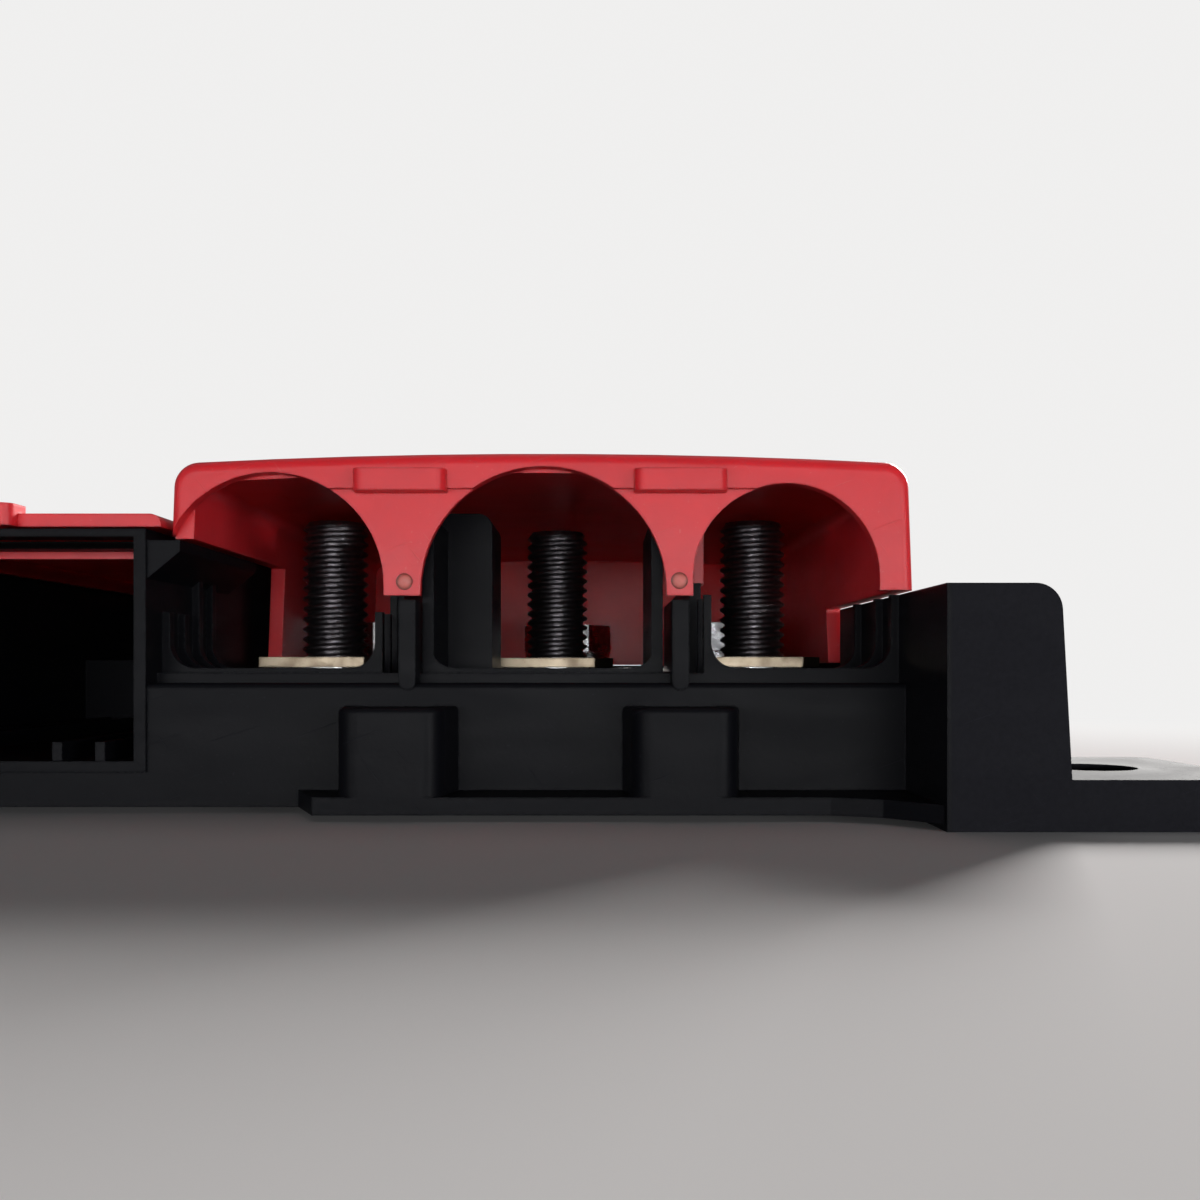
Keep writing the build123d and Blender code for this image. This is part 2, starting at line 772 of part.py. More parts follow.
def feed_bay_lid():
    """Flat hinged lid over the side bay, with a locating rim and a finger tab."""
    x0 = left_x - lid_overhang
    x1 = bay_x0 + lid_overhang
    rim_y0 = front_y + frame_pitch + frame_depth + lid_rim_gap
    rim_y1 = rear_y - side_wall - lid_rim_back
    with BuildPart() as lid:
        with BuildSketch(front_plane(rear_y)):
            with Locations(((x0 + x1) / 2, lid_z + lid_thickness / 2)):
                plate = Rectangle(x1 - x0, lid_thickness)
            fillet(plate.vertices().group_by(Axis.Y)[-1], lid_edge)
        extrude(amount=rear_y - front_y + frame_proud)
        with BuildSketch(Plane.XY.offset(lid_z)):
            with Locations((feed_mid_x, (rim_y0 + rim_y1) / 2)):
                rim_x = feed_width - 2 * lid_rim_gap
                Rectangle(rim_x, rim_y1 - rim_y0)
                Rectangle(rim_x - 2 * lid_rim_wall, rim_y1 - rim_y0 - 2 * lid_rim_wall, mode=Mode.SUBTRACT)
        extrude(amount=-lid_rim_height - lid_gap)
        finger_tab(feed_mid_x, front_y - frame_proud, lid_z + tab_height / 2)
        for x in lid_knuckle_x:
            knuckle(x, lid_hinge_z)
            half = knuckle_length / 2
            box_between(
                x - half, x + half, hinge_y - knuckle_r, hinge_y + knuckle_r / 2, lid_hinge_z,
                lid_z + lid_thickness,
            )
            box_between(x - half, x + half, rear_y, hinge_y, lid_z, lid_z + lid_thickness)
    lid.part.label = "feed_bay_lid"
    return lid.part


def stud(name, x, y, seat_z, top_z):
    """M8 stud with a hexagonal head under the deck, a plain shank up to its seat and a thread above it.

    The thread is left plain, at its outer radius.
    """
    thread_z = seat_z + thread_start
    with BuildPart() as piece:
        with BuildSketch(Plane.XY.offset(hex_top_z - hex_height)):
            with Locations((x, y)):
                RegularPolygon(hex_r, 6)
        extrude(amount=hex_height)
        with BuildSketch(Plane.XY.offset(hex_top_z)):
            with Locations((x, y)):
                Circle(shank_r)
        extrude(amount=thread_z - hex_top_z)
        with BuildSketch(Plane.XY.offset(thread_z)):
            with Locations((x, y)):
                Circle(thread_r)
        extrude(amount=top_z - thread_z)
        chamfer(piece.faces().sort_by(Axis.Z)[-1].edges(), stud_chamfer)
    piece.part.label = name
    return piece.part


def seat_washer(name, x, y, z):
    """Plain washer round a stud."""
    with BuildPart() as piece:
        with BuildSketch(Plane.XY.offset(z)):
            with Locations((x, y)):
                Circle(washer_r)
                Circle(hole_r, mode=Mode.SUBTRACT)
        extrude(amount=washer_thickness)
    piece.part.label = name
    return piece.part


def fuse_strip(name, x, y):
    """Flat fuse strip with a hole at each end, one cut corner and a narrow neck that melts."""
    middle = y + strip_pitch / 2
    neck_length = neck_length_share * strip_width
    notch_width = (1 - neck_share) * strip_width
    with BuildPart() as piece:
        with BuildSketch(Plane.XY.offset(bar_z)):
            with Locations((x, middle)):
                outline = Rectangle(strip_width, strip_pitch + 2 * strip_end)
            chamfer(outline.vertices().group_by(Axis.Y)[0].sort_by(Axis.X)[-1], strip_chamfer)
            with Locations((x - strip_width / 2, middle), (x + strip_width / 2, middle)):
                SlotOverall(neck_length, notch_width, rotation=90, mode=Mode.SUBTRACT)
            with Locations((x, y), (x, y + strip_pitch)):
                Circle(strip_hole_r, mode=Mode.SUBTRACT)
        extrude(amount=strip_thickness)
    piece.part.label = name
    return piece.part


def bus_bar():
    """Common bar under the strips' rear ends, reaching through the partition to the feed stud."""
    with BuildPart() as piece:
        with BuildSketch(Plane.XY.offset(bar_z - bar_thickness)):
            bar_outline()
            with Locations((feed_mid_x, feed_y), *bolt_places):
                Circle(strip_hole_r, mode=Mode.SUBTRACT)
        extrude(amount=bar_thickness)
        upright = piece.edges().filter_by(Axis.Z).sort_by(Axis.X)
        fillet(upright[:2] + upright[-2:], bar_round)
    piece.part.label = "bus_bar"
    return piece.part


def rear_bolt(name, x, y):
    """Hexagon flange bolt that clamps a strip to the bus bar."""
    with BuildPart() as piece:
        with BuildSketch(Plane.XY.offset(strip_top_z)):
            with Locations((x, y)):
                Circle(flange_r)
        extrude(amount=flange_thickness)
        with BuildSketch(Plane.XY.offset(strip_top_z + flange_thickness)):
            with Locations((x, y)):
                RegularPolygon(hex_flats / 2, 6, major_radius=False)
        extrude(amount=bolt_head - flange_thickness)
        with BuildSketch(Plane.XY.offset(strip_top_z)):
            with Locations((x, y)):
                Circle(thread_r)
        extrude(amount=-bolt_length)
    piece.part.label = name
    return piece.part


def threaded_insert(name, x, y):
    """Brass insert moulded into the deck, grooved outside and bored for the bolt."""
    bottom = bar_z - bar_thickness - insert_length
    spacing = insert_length / (insert_grooves + 1)
    with BuildPart() as piece:
        with BuildSketch(Plane.XY.offset(bottom)):
            with Locations((x, y)):
                Circle(insert_r)
        extrude(amount=insert_length)
        for ring in range(insert_grooves):
            with BuildSketch(Plane.XY.offset(bottom + (ring + 1) * spacing - insert_groove / 2)):
                with Locations((x, y)):
                    Circle(insert_r)
                    Circle(insert_r - insert_groove, mode=Mode.SUBTRACT)
            extrude(amount=insert_groove, mode=Mode.SUBTRACT)
        with BuildSketch(Plane.XY.offset(bottom)):
            with Locations((x, y)):
                Circle(thread_r + pin_gap)
        extrude(amount=insert_length, mode=Mode.SUBTRACT)
    piece.part.label = name
    return piece.part


def all_pieces():
    """Every piece of the fuse box, in the order in which it is put together."""
    pieces = [base_housing(), bus_bar()]
    for bay in bays:
        x, y = stud_x[bay], stud_y[bay]
        pieces.append(stud(f"stud_{bay}", x, y, strip_top_z, stud_top_z))
        pieces.append(seat_washer(f"seat_washer_{bay}", x, y, deck_z))
        pieces.append(fuse_strip(f"fuse_strip_{bay}", x, y))
        pieces.append(threaded_insert(f"threaded_insert_{bay}", x, bolt_y[bay]))
        pieces.append(rear_bolt(f"rear_bolt_{bay}", x, bolt_y[bay]))
    pieces.append(stud("stud_feed", feed_mid_x, feed_y, bar_z + washer_thickness, feed_top_z - feed_stud_drop))
    pieces.append(seat_washer("seat_washer_feed", feed_mid_x, feed_y, bar_z))
    pieces.append(terminal_cover())
    pieces.append(feed_bay_lid())
    return pieces


os.makedirs("parts", exist_ok=True)
for finished in all_pieces():
    export_step(finished, f"parts/{finished.label}.step")
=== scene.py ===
"""Render scene of the bolt-down fuse box.

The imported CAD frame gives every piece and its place. This script adds what the frame leaves plain: the
thread on each stud, the moulding marks, a procedural finish for each material, the lights and the camera.
All lengths are in metres.
"""

import json
import logging
import math
from dataclasses import dataclass, replace
from enum import Enum

import bpy
import numpy as np
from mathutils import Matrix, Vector

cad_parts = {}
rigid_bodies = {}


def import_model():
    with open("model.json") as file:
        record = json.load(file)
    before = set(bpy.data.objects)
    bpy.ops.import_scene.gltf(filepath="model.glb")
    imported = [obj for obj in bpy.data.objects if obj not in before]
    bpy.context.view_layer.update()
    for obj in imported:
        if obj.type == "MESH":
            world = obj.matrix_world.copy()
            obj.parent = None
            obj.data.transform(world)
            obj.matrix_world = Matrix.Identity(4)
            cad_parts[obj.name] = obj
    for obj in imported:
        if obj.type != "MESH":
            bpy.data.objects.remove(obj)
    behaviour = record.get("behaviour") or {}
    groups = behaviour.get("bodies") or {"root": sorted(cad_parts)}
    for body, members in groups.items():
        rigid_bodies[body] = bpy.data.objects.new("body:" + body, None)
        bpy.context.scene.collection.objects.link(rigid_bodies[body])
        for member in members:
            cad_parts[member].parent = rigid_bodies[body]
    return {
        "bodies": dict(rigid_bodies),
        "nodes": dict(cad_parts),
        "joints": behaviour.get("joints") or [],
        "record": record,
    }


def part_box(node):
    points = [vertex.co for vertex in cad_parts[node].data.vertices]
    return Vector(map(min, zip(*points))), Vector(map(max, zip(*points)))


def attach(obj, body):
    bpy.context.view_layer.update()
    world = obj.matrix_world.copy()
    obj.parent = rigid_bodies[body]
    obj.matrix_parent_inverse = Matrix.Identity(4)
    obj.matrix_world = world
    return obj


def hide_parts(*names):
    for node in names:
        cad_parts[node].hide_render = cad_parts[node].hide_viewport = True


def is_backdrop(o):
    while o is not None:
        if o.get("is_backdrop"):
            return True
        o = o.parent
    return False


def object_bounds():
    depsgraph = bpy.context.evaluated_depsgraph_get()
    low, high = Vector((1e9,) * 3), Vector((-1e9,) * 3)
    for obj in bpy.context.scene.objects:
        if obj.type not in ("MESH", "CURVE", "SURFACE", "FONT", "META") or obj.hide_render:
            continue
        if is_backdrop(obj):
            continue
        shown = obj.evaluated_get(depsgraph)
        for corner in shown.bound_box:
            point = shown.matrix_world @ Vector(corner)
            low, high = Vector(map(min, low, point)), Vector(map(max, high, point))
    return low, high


LOG = logging.getLogger("fuse_box")
MM = 0.001

# places of the colour sockets of a Mix node, which has three sockets of the same name
MIX_FIRST = 6
MIX_SECOND = 7
MIX_RESULT = 2


class Slot(Enum):
    """Material slots of the record that the pieces take their finish from."""

    HOUSING = "housing"
    COVER = "cover"
    STUD_STEEL = "stud_steel"
    ZINC = "zinc"
    STRIP_BRASS = "strip_brass"
    INSERT_BRASS = "insert_brass"
    BAR_COPPER = "bar_copper"


class Body(Enum):
    """Bodies of the frame that the added pieces ride on."""

    HOUSING = "housing"
    COVER = "cover"


# slot of each node, by the node's name or the first words of it
PIECE_SLOTS: dict[str, Slot] = {
    "base_housing": Slot.HOUSING,
    "terminal_cover": Slot.COVER,
    "feed_bay_lid": Slot.COVER,
    "bus_bar": Slot.BAR_COPPER,
    "stud": Slot.STUD_STEEL,
    "seat_washer": Slot.ZINC,
    "rear_bolt": Slot.ZINC,
    "fuse_strip": Slot.STRIP_BRASS,
    "threaded_insert": Slot.INSERT_BRASS,
}


@dataclass(frozen=True)
class PlasticFinish:
    """A moulded plastic.

    Attributes:
        colour: linear base colour where the surface is clean.
        worn_colour: linear colour of rubbed and chalky places.
        roughness: roughness of the smooth skin.
        roughness_spread: how far the roughness wanders either way.
        grain_size: width of one bump of the fine grain.
        grain_height: height of that grain.
        coat: weight of the clear skin.
        scatter: share of light that passes through the skin.
        mirror: strength of the skin's plain reflection, where 0.5 is that of most plastics.
    """

    colour: tuple[float, float, float]
    worn_colour: tuple[float, float, float]
    roughness: float
    roughness_spread: float
    grain_size: float
    grain_height: float
    coat: float
    scatter: float
    mirror: float


@dataclass(frozen=True)
class MetalFinish:
    """A metal, bare or plated.

    Attributes:
        colour: linear colour of the bright metal; for the studs and the strips it is made darker to paint
            the shade under the cover.
        dull_colour: linear colour of the tarnished or darkened places.
        roughness: roughness of the bright metal.
        roughness_spread: how far the roughness wanders either way.
        line_width: width of one rolling or turning line.
        line_height: depth of those lines.
        stain_size: width of a typical stain.
    """

    colour: tuple[float, float, float]
    dull_colour: tuple[float, float, float]
    roughness: float
    roughness_spread: float
    line_width: float
    line_height: float
    stain_size: float


BLACK_PLASTIC = PlasticFinish(
    colour=(0.0030, 0.0031, 0.0042),
    worn_colour=(0.019, 0.019, 0.024),
    roughness=0.40,
    roughness_spread=0.10,
    grain_size=0.45 * MM,
    grain_height=0.012 * MM,
    coat=0.0,
    scatter=0.0,
    mirror=0.06,
)
RED_PLASTIC = PlasticFinish(
    colour=(0.560, 0.019, 0.027),
    worn_colour=(0.680, 0.140, 0.130),
    roughness=0.36,
    roughness_spread=0.07,
    grain_size=0.60 * MM,
    grain_height=0.008 * MM,
    coat=0.04,
    scatter=0.42,
    mirror=0.30,
)
GATE_PLASTIC = replace(RED_PLASTIC, colour=(0.58, 0.13, 0.11), worn_colour=(0.70, 0.35, 0.32))
# distance from the middle beyond which the housing's skin is coarse and dull
COARSE_FROM = 55.6 * MM

METALS: dict[Slot, MetalFinish] = {
    # the studs' own dark plating, made darker still to paint the shade under the cover
    Slot.STUD_STEEL: MetalFinish(
        (0.15, 0.14, 0.15), (0.055, 0.049, 0.053), 0.36, 0.10, 0.10 * MM, 0.004 * MM, 2.2 * MM
    ),
    Slot.ZINC: MetalFinish(
        (0.432, 0.438, 0.45), (0.252, 0.252, 0.246), 0.26, 0.09, 0.12 * MM, 0.003 * MM, 3.0 * MM
    ),
    # brass made far darker than its own colour, to paint the shade that the strips sit in under the cover
    Slot.STRIP_BRASS: MetalFinish(
        (0.20, 0.165, 0.12), (0.12, 0.09, 0.06), 0.33, 0.10, 0.10 * MM, 0.004 * MM, 3.5 * MM
    ),
    Slot.INSERT_BRASS: MetalFinish(
        (0.70, 0.50, 0.21), (0.42, 0.27, 0.10), 0.30, 0.08, 0.15 * MM, 0.005 * MM, 2.5 * MM
    ),
    Slot.BAR_COPPER: MetalFinish(
        (0.71, 0.70, 0.67), (0.50, 0.36, 0.27), 0.30, 0.10, 0.14 * MM, 0.004 * MM, 6.0 * MM
    ),
}


class Value:
    """A number or vector in a node tree, with arithmetic that adds Math nodes."""

    def __init__(self, tree: bpy.types.NodeTree, socket: bpy.types.NodeSocket) -> None:
        """Wrap one output socket.

        Args:
            tree: the node tree that the socket is in.
            socket: the output socket.
        """
        self.tree = tree
        self.socket = socket

    def maths(self, operation: str, *others: "Value | float") -> "Value":
        """Add one Math node whose first input is this value.

        Args:
            operation: name of the Math node's operation.
            others: the node's other inputs.

        Returns:
            The node's output.
        """
        return add_node(self.tree, "ShaderNodeMath", dict(enumerate((self, *others))), operation=operation)

    def __add__(self, other: "Value | float") -> "Value":
        """Add the other to this value."""
        return self.maths("ADD", other)

    def __radd__(self, other: "Value | float") -> "Value":
        """Add this value to a number."""
        return self.maths("ADD", other)

    def __sub__(self, other: "Value | float") -> "Value":
        """Take the other from this value."""
        return self.maths("SUBTRACT", other)

    def __rsub__(self, other: "Value | float") -> "Value":
        """Take this value from a number."""
        return (self * -1.0).maths("ADD", other)

    def __mul__(self, other: "Value | float") -> "Value":
        """Multiply this value by the other."""
        return self.maths("MULTIPLY", other)

    def __rmul__(self, other: "Value | float") -> "Value":
        """Multiply a number by this value."""
        return self.maths("MULTIPLY", other)

    def __truediv__(self, other: "Value | float") -> "Value":
        """Divide this value by the other."""
        return self.maths("DIVIDE", other)

    def __rtruediv__(self, other: "Value | float") -> "Value":
        """Divide a number by this value."""
        return self.maths("POWER", -1.0).maths("MULTIPLY", other)

    def __abs__(self) -> "Value":
        """Return this value without its sign."""
        return self.maths("ABSOLUTE")

    def least(self, other: "Value | float") -> "Value":
        """Return the smaller of this value and the other."""
        return self.maths("MINIMUM", other)

    def most(self, other: "Value | float") -> "Value":
        """Return the larger of this value and the other."""
        return self.maths("MAXIMUM", other)

    def rise(self, low: float, high: float) -> "Value":
        """Rise smoothly from 0 to 1 while this value goes from low to high.

        Args:
            low: where the result is 0.
            high: where the result is 1, which may be below low.

        Returns:
            The smooth step.
        """
        inputs = {"Value": self, "From Min": low, "From Max": high}
        return add_node(self.tree, "ShaderNodeMapRange", inputs, "Result", interpolation_type="SMOOTHSTEP")


Input = Value | float | tuple[float, ...]
Inputs = dict[str | int, Input]


def feed(tree: bpy.types.NodeTree, item: Input, socket: bpy.types.NodeSocket) -> None:
    """Link a value to an input socket, or set the socket to a constant.

    Args:
        tree: the node tree.
        item: a value of the tree, a number, or a tuple for a vector or colour.
        socket: the input socket.
    """
    if isinstance(item, Value):
        tree.links.new(item.socket, socket)
    elif isinstance(item, tuple) and socket.type == "RGBA":
        socket.default_value = (*item, 1.0)
    else:
        socket.default_value = item


def add_node(
    tree: bpy.types.NodeTree,
    kind: str,
    inputs: Inputs | None = None,
    output: str | int = 0,
    **settings: str | float | bool,
) -> Value:
    """Add any node that has an output. Its settings come first, because they decide its sockets.

    Args:
        tree: the node tree.
        kind: the node's type name.
        inputs: what goes into each input, by name or number.
        output: name or number of the output that is wanted.
        settings: the node's own properties.

    Returns:
        The wanted output.
    """
    node = tree.nodes.new(kind)
    for name, value in settings.items():
        setattr(node, name, value)
    for key, item in (inputs or {}).items():
        feed(tree, item, node.inputs[key])
    return Value(tree, node.outputs[output])


def end_tree(surface: Value, kind: str = "ShaderNodeOutputMaterial") -> None:
    """Lead a shader to the output node of its tree."""
    output = surface.tree.nodes.new(kind)
    feed(surface.tree, surface, output.inputs["Surface"])


class Shading:
    """A material under construction."""

    def __init__(self, name: str) -> None:
        """Start an empty material.

        Args:
            name: the material's name.
        """
        self.material = bpy.data.materials.new(name)
        self.material.use_nodes = True
        self.tree = self.material.node_tree
        self.tree.nodes.clear()
        self.position = self.add("ShaderNodeTexCoord", output="Object")
        self.x, self.y, self.z = (
            self.add("ShaderNodeSeparateXYZ", {0: self.position}, axis) for axis in ("X", "Y", "Z")
        )

    def add(
        self,
        kind: str,
        inputs: Inputs | None = None,
        output: str | int = 0,
        **settings: str | float | bool,
    ) -> Value:
        """Add any node to this material, as add_node does."""
        return add_node(self.tree, kind, inputs, output, **settings)

    def vector(self, x: Input, y: Input, z: Input) -> Value:
        """Join three numbers into a vector."""
        return self.add("ShaderNodeCombineXYZ", {"X": x, "Y": y, "Z": z})

    def noise(self, size: float, detail: float = 2.0, where: Value | None = None, **more: float) -> Value:
        """Add smooth noise from 0 to 1.

        Args:
            size: width of one blob.
            detail: how many finer layers it has.
            where: the position that it reads, the object's own if left out.
            more: the node's other inputs by name, such as Roughness.

        Returns:
            The noise.
        """
        inputs = {"Vector": where or self.position, "Scale": 1.0 / size, "Detail": detail, **more}
        return self.add("ShaderNodeTexNoise", inputs)

    def stretched(self, along_x: float, along_y: float, along_z: float) -> Value:
        """Scale the object's position, so that a pattern of size 1 has these sizes."""
        return self.vector(self.x / along_x, self.y / along_y, self.z / along_z)

    def mix(self, share: Input, first: Input, second: Input) -> Value:
        """Mix two colours.

        Args:
            share: how much of the second there is, from 0 to 1.
            first: the colour at share 0.
            second: the colour at share 1.

        Returns:
            The mixed colour.
        """
        inputs = {"Factor": share, MIX_FIRST: first, MIX_SECOND: second}
        return self.add("ShaderNodeMix", inputs, MIX_RESULT, data_type="RGBA")

    def finish(self, normal: Value, **inputs: Input) -> bpy.types.Material:
        """Close the material with a Principled shader.

        Args:
            normal: the bumped normal.
            inputs: the shader's inputs, with an underscore for each space in a name.

        Returns:
            The finished material.
        """
        named = {name.replace("_", " "): item for name, item in inputs.items()}
        end_tree(self.add("ShaderNodeBsdfPrincipled", {**named, "Normal": normal}))
        return self.material

    def bump(self, height: Value, normal: Value | None = None) -> Value:
        """Bump the surface by a height in metres.

        Args:
            height: the height.
            normal: the normal that is bumped, the plain one if left out.

        Returns:
            The bumped normal.
        """
        inputs: dict[str, Input] = {"Height": height, "Strength": 1.0, "Distance": 1.0}
        if normal is not None:
            inputs["Normal"] = normal
        return self.add("ShaderNodeBump", inputs)


@dataclass(frozen=True)
class SurfaceMarks:
    """Sizes of the marks that moulding and handling leave.

    A name that ends in from_to holds the two levels between which the mark comes in.

    Attributes:
        flow_length: length of one flow mark of the moulding.
        flow_width: width of it.
        flow_height: height of the ripple that it makes.
        scratch_length: length of a handling scratch.
        scratch_width: width of it.
        scratch_depth: depth of it.
        scratch_turns: the two directions of the scratches, in radians from level.
        scratch_from_to: levels for a scratch.
        speck_size: width of a dust speck.
        speck_from_to: levels for a speck.
        mottle_size: width of a patch of slightly lighter plastic.
        mottle_gain: how many times as light the lightest patch is.
        rub_size: width of one rubbed spot on an edge.
        rub_from_to: levels for a rubbed spot.
        coarse_fade: distance over which the coarse skin begins.
        edge_radius: width of the rounded and rubbed line along an edge.
        edge_from_to: how alike rounded and flat normal are off an edge, and on it.
    """

    flow_length: float = 14.0 * MM
    flow_width: float = 3.5 * MM
    flow_height: float = 0.020 * MM
    scratch_length: float = 7.0 * MM
    scratch_width: float = 0.16 * MM
    scratch_depth: float = 0.010 * MM
    scratch_turns: tuple[float, float] = (0.35, -0.9)
    scratch_from_to: tuple[float, float] = (0.73, 0.80)
    speck_size: float = 0.30 * MM
    speck_from_to: tuple[float, float] = (0.80, 0.86)
    mottle_size: float = 6.0 * MM
    mottle_gain: float = 1.35
    rub_size: float = 1.6 * MM
    rub_from_to: tuple[float, float] = (0.42, 0.66)
    coarse_fade: float = 0.4 * MM
    edge_radius: float = 0.30 * MM
    edge_from_to: tuple[float, float] = (0.99, 0.80)


@dataclass(frozen=True)
class PlasticWear:
    """How strongly each mark changes the plastic.

    Attributes:
        edge: share of the worn colour on a rubbed edge.
        scratch: share of it in a scratch.
        speck: share of it on a speck.
        coarse: share of it on the coarse skin.
        coarse_grain: what the coarse skin's grain adds to that.
        most: largest share of the worn colour.
        scratch_roughness: roughness that a scratch adds.
        speck_roughness: roughness that a speck adds.
        coarse_roughness: roughness that the coarse skin adds.
        most_roughness: largest roughness.
        coarse_height: how many times its height the grain gains on the coarse skin.
    """

    edge: float = 0.55
    scratch: float = 0.30
    speck: float = 0.35
    coarse: float = 0.22
    coarse_grain: float = 0.30
    most: float = 0.9
    scratch_roughness: float = 0.15
    speck_roughness: float = 0.2
    coarse_roughness: float = 0.30
    most_roughness: float = 0.95
    coarse_height: float = 3.0


@dataclass(frozen=True)
class MetalWear:
    """How strongly each mark changes a metal, and the sizes that all metals share.

    Attributes:
        stain: share of the dull colour in a stain.
        pit: share of it in a pit.
        edge: how much of it a rubbed edge loses.
        dull_roughness: roughness that the dull colour brings.
        stain_from_to: noise levels between which a stain comes in.
        pit_size: width of one pit.
        pit_from_to: noise levels between which a pit comes in.
        pit_depth: depth of a pit, in heights of a line.
        line_stretch: length of a line, in widths of it.
    """

    stain: float = 0.75
    pit: float = 0.5
    edge: float = 0.6
    dull_roughness: float = 0.16
    stain_from_to: tuple[float, float] = (0.40, 0.68)
    pit_size: float = 0.22 * MM
    pit_from_to: tuple[float, float] = (0.68, 0.78)
    pit_depth: float = 2.0
    line_stretch: float = 60.0


MARKS = SurfaceMarks()
PLASTIC_WEAR = PlasticWear()
METAL_WEAR = MetalWear()


def rounded_edges(shading: Shading) -> tuple[Value, Value]:
    """Round every sharp edge in the shading only.

    Args:
        shading: the material.

    Returns:
        The rounded normal, and how near the point is to an edge, from 0 to 1.
    """
    rounded = shading.add("ShaderNodeBevel", {"Radius": MARKS.edge_radius}, samples=2)
    flat = shading.add("ShaderNodeNewGeometry", output="Normal")
    alike = shading.add("ShaderNodeVectorMath", {0: rounded, 1: flat}, "Value", operation="DOT_PRODUCT")
    return rounded, alike.rise(*MARKS.edge_from_to)


def scratches(shading: Shading, turn: float) -> Value:
    """Thin handling scratches, sparse and in one direction.

    Args:
        shading: the material.
        turn: angle of the scratches from level, in radians.

    Returns:
        How deep in a scratch the point is, from 0 to 1.
    """
    along = shading.x * math.cos(turn) + shading.z * math.sin(turn)
    across = shading.z * math.cos(turn) - shading.x * math.sin(turn)
    where = shading.vector(
        along / MARKS.scratch_length, shading.y / MARKS.scratch_length, across / MARKS.scratch_width
    )
    return shading.noise(1.0, 1.0, where).rise(*MARKS.scratch_from_to)


def plastic(name: str, finish: PlasticFinish, block_from: float | None = None) -> bpy.types.Material:
    """Moulded plastic with flow marks, scratches, specks and rubbed edges.

    Args:
        name: the material's name.
        finish: its colours and sizes.
        block_from: distance from the middle beyond which the skin is coarse and dull, if it is anywhere.

    Returns:
        The material.
    """
    shading = Shading(name)
    wear = PLASTIC_WEAR
    rounded, edge = rounded_edges(shading)
    flow_at = shading.stretched(MARKS.flow_length, MARKS.flow_length, MARKS.flow_width)
    flow = shading.noise(1.0, 3.0, flow_at, Distortion=0.7)
    mottle = shading.noise(MARKS.mottle_size, 4.0, Roughness=0.6)
    grain = shading.noise(finish.grain_size, 2.0)
    speck = shading.noise(MARKS.speck_size, 0.0).rise(*MARKS.speck_from_to)
    rub = shading.noise(MARKS.rub_size, 3.0).rise(*MARKS.rub_from_to)
    first_turn, second_turn = MARKS.scratch_turns
    scratch = scratches(shading, first_turn).most(scratches(shading, second_turn))
    coarse = 0.0 * shading.x
    if block_from is not None:
        coarse = abs(shading.x).rise(block_from, block_from + MARKS.coarse_fade)

    worn = edge * rub * wear.edge + scratch * wear.scratch + speck * wear.speck
    worn = (worn + coarse * (wear.coarse + wear.coarse_grain * grain)).least(wear.most)
    clean = shading.mix(mottle, finish.colour, tuple(MARKS.mottle_gain * part for part in finish.colour))
    colour = shading.mix(worn, clean, finish.worn_colour)
    roughness = finish.roughness + (flow - 0.5) * finish.roughness_spread * 2.0
    roughness = roughness + scratch * wear.scratch_roughness + speck * wear.speck_roughness
    roughness = roughness + coarse * wear.coarse_roughness
    height = flow * MARKS.flow_height + grain * finish.grain_height * (1.0 + wear.coarse_height * coarse)
    height = height - scratch * MARKS.scratch_depth
    return shading.finish(
        shading.bump(height, rounded),
        Base_Color=colour,
        Roughness=roughness.least(wear.most_roughness),
        Specular_IOR_Level=finish.mirror,
        Coat_Weight=finish.coat,
        Coat_Roughness=0.25,
        Subsurface_Weight=finish.scatter,
        Subsurface_Radius=(1.0, 0.12, 0.12),
        Subsurface_Scale=2.0 * MM,
    )


def metal(slot: Slot) -> bpy.types.Material:
    """Rolled, turned or plated metal with stains, fine lines and bright edges.

    Args:
        slot: the slot whose metal it is.

    Returns:
        The material.
    """
    finish = METALS[slot]
    wear = METAL_WEAR
    shading = Shading(slot.value)
    rounded, edge = rounded_edges(shading)
    stain = shading.noise(finish.stain_size, 5.0, Roughness=0.62).rise(*wear.stain_from_to)
    width = finish.line_width
    length = wear.line_stretch * width
    lines = shading.noise(1.0, 2.0, shading.stretched(length, length, width))
    pits = shading.noise(wear.pit_size, 1.0).rise(*wear.pit_from_to)
    dull = (stain * wear.stain + pits * wear.pit - edge * wear.edge).most(0.0).least(1.0)
    roughness = finish.roughness + (lines - 0.5) * finish.roughness_spread * 2.0
    roughness = roughness + dull * wear.dull_roughness
    height = lines * finish.line_height - pits * finish.line_height * wear.pit_depth
    return shading.finish(
        shading.bump(height, rounded),
        Base_Color=shading.mix(dull, finish.colour, finish.dull_colour),
        Roughness=roughness,
        Metallic=1.0,
    )


@dataclass(frozen=True)
class StudSizes:
    """The stud's plain sizes, as in the CAD, but without the thinner shank that it has below its thread.

    Attributes:
        shank_radius: radius of the thread's crests.
        head_height: height of the hexagon head, which sits in the deck.
        head_flats: distance across the head's flats.
    """

    shank_radius: float = 4.0 * MM
    head_height: float = 5.3 * MM
    head_flats: float = 13.0 * MM


@dataclass(frozen=True)
class ThreadSizes:
    """A metric screw thread and how finely it is drawn.

    Attributes:
        pitch: distance from crest to crest.
        depth: depth of the groove.
        crest: share of the pitch that is the flat crest.
        root: share of the pitch that is the flat root.
        run_out: length over which the groove fades at the lower end.
        lead_in: length of the chamfer at the tip.
        tip_cut: depth of the chamfer at the very tip, in depths of the groove.
        steps_per_pitch: rows of points in one pitch.
        points_around: points in one row.
        sharp_from: angle in degrees from which an edge stays sharp.
    """

    pitch: float = 1.25 * MM
    depth: float = 0.58 * MM
    crest: float = 0.18
    root: float = 0.20
    run_out: float = 1.6 * MM
    lead_in: float = 0.9 * MM
    tip_cut: float = 1.15
    steps_per_pitch: int = 14
    points_around: int = 72
    sharp_from: float = 32.0


